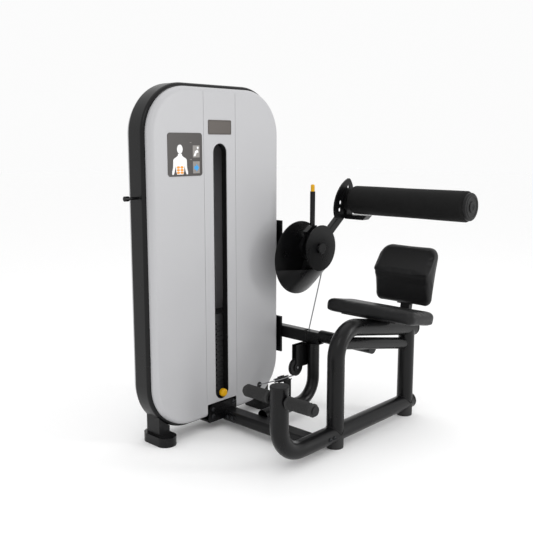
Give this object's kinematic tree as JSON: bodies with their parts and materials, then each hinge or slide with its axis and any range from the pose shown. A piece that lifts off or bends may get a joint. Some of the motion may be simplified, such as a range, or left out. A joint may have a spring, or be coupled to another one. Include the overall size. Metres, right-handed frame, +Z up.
{
  "type": "seated abdominal crunch machine",
  "caption": "Seated abdominal crunch machine: weight stack in an oval tower, low seat and back pad on a tube frame, and a swinging arm with a foam roller driven through a cable and cam.",
  "frame": {"origin": "middle of the footprint, on the floor", "axes": "+X from the weight tower to the seat, +Y from the foot bar to the back pad, +Z up; the user sits facing -Y"},
  "size_m": [1.071, 1.267, 1.598],
  "materials": {
    "light_grey_shroud": "satin",
    "black_trim": "satin",
    "black_rubber": "matte",
    "placard": "satin",
    "black_frame": "satin",
    "chromed_rod": "polished",
    "cast_plate": "satin",
    "yellow_plastic": "gloss",
    "black_plastic": "satin",
    "cable_jacket": "satin",
    "bearing_steel": "satin",
    "black_foam": "matte",
    "upholstery": "satin"
  },
  "bodies": {
    "frame": {"front_shroud": "light_grey_shroud", "rear_shroud": "light_grey_shroud", "slot_liner": "black_trim", "cable_grommet": "black_rubber", "exercise_placard": "placard", "name_plate": "placard", "tower_feet": "black_frame", "tower_hoop": "black_frame", "accessory_peg": "black_frame", "guide_rods": "chromed_rod", "stack_bumpers": "black_rubber", "bottom_plate": "cast_plate", "drive_cable": "cable_jacket", "guide_crossbar": "black_frame", "foot_bar": "black_frame", "tube_end_caps": "black_trim", "rubber_feet": "black_rubber", "saddle_bracket": "black_frame", "pivot_bracket": "black_frame", "pivot_bearings": "bearing_steel", "guard_back_plate": "black_frame", "guard_front_cover": "black_frame", "seat_pan": "black_frame", "seat_pad": "upholstery", "back_pad": "upholstery", "back_pad_bracket": "black_frame", "front_upright_and_rail": "black_frame", "base_rail_and_post": "black_frame", "rear_upright": "black_frame", "lower_rail": "black_frame", "base_cross_tube": "black_frame", "side_beam": "black_frame", "bent_brace": "black_frame", "pulley_axles": "bearing_steel", "pulley_brackets": "black_frame"},
    "weight_stack": {"weight_plates": "cast_plate", "stack_top_plate": "cast_plate", "selector_stem": "chromed_rod", "stack_cable": "cable_jacket"},
    "selector_pin": {"selector_pin": "chromed_rod", "selector_knob": "yellow_plastic"},
    "cam": {"cam": "black_frame", "cam_cable": "cable_jacket", "pivot_shaft": "bearing_steel", "pivot_cap": "black_trim"},
    "movement_arm": {"arm_tube": "black_frame", "quadrant_plate": "black_frame", "roller_bracket": "black_frame", "roller_shaft": "bearing_steel"},
    "roller": {"roller_core": "black_plastic", "roller_foam": "black_foam", "roller_end_caps": "black_trim"},
    "index_lever": {"index_lever": "black_frame", "lever_tip": "yellow_plastic"},
    "arm_pulley": {"arm_pulley": "black_plastic"},
    "floor_pulley": {"floor_pulley": "black_plastic"},
    "tower_exit_pulley": {"tower_exit_pulley": "black_plastic"},
    "top_pulley_side": {"top_pulley_side": "black_plastic"},
    "top_pulley_centre": {"top_pulley_centre": "black_plastic"},
    "foot_grips": {"foot_grips": "black_rubber"}
  },
  "joints": [
    {"name": "stack_lift", "type": "slide", "parent": "frame", "child": "weight_stack", "axis": [0, 0, 1], "range_m": [0, 0.187], "deforming": ["stack_cable"]},
    {"name": "selector_pin_slide", "type": "slide", "parent": "weight_stack", "child": "selector_pin", "axis": [1, 0, 0], "range_m": [0, 0.12]},
    {"name": "cam_swing", "type": "hinge", "parent": "frame", "child": "cam", "pos_m": [-0.2165, 0.2895, 0.835], "axis": [1, 0, 0], "range_deg": [0, 75.5]},
    {"name": "start_adjust", "type": "hinge", "parent": "cam", "child": "movement_arm", "pos_m": [-0.2165, 0.2895, 0.835], "axis": [1, 0, 0], "range_deg": [0, 45]},
    {"name": "roller_spin", "type": "hinge", "parent": "movement_arm", "child": "roller", "pos_m": [0.2135, 0.50614, 1.06091], "axis": [1, 0, 0], "continuous": true},
    {"name": "index_lever_pull", "type": "slide", "parent": "movement_arm", "child": "index_lever", "axis": [0, 0, 1], "range_m": [0, 0.012], "stiffness_N_per_m": 900, "springref_m": -0.02},
    {"name": "foot_grip_spin", "type": "hinge", "parent": "frame", "child": "foot_grips", "pos_m": [0.1795, -0.3625, 0.313], "axis": [1, 0, 0], "continuous": true},
    {"name": "arm_pulley_spin", "type": "hinge", "parent": "frame", "child": "arm_pulley", "pos_m": [-0.2165, 0.19612, 0.24435], "axis": [1, 0, 0], "continuous": true},
    {"name": "floor_pulley_spin", "type": "hinge", "parent": "frame", "child": "floor_pulley", "pos_m": [-0.25015, 0.12985, 0.19125], "axis": [-0.3782, 0, 0.9257], "continuous": true},
    {"name": "tower_exit_pulley_spin", "type": "hinge", "parent": "frame", "child": "tower_exit_pulley", "pos_m": [-0.42115, 0.0935, 0.15418], "axis": [0, 1, 0], "continuous": true},
    {"name": "top_pulley_side_spin", "type": "hinge", "parent": "frame", "child": "top_pulley_side", "pos_m": [-0.4515, 0.04515, 1.44165], "axis": [1, 0, 0], "continuous": true},
    {"name": "top_pulley_centre_spin", "type": "hinge", "parent": "frame", "child": "top_pulley_centre", "pos_m": [-0.4515, -0.11315, 1.44165], "axis": [1, 0, 0], "continuous": true}
  ],
  "couplings": [
    {"joint": "cam_swing", "follows": "stack_lift", "rad_per_m": 6.9759},
    {"joint": "arm_pulley_spin", "follows": "stack_lift", "rad_per_m": 25.413},
    {"joint": "floor_pulley_spin", "follows": "stack_lift", "rad_per_m": 27.51},
    {"joint": "tower_exit_pulley_spin", "follows": "stack_lift", "rad_per_m": -32.949},
    {"joint": "top_pulley_side_spin", "follows": "stack_lift", "rad_per_m": -20.683},
    {"joint": "top_pulley_centre_spin", "follows": "stack_lift", "rad_per_m": -20.683}
  ]
}
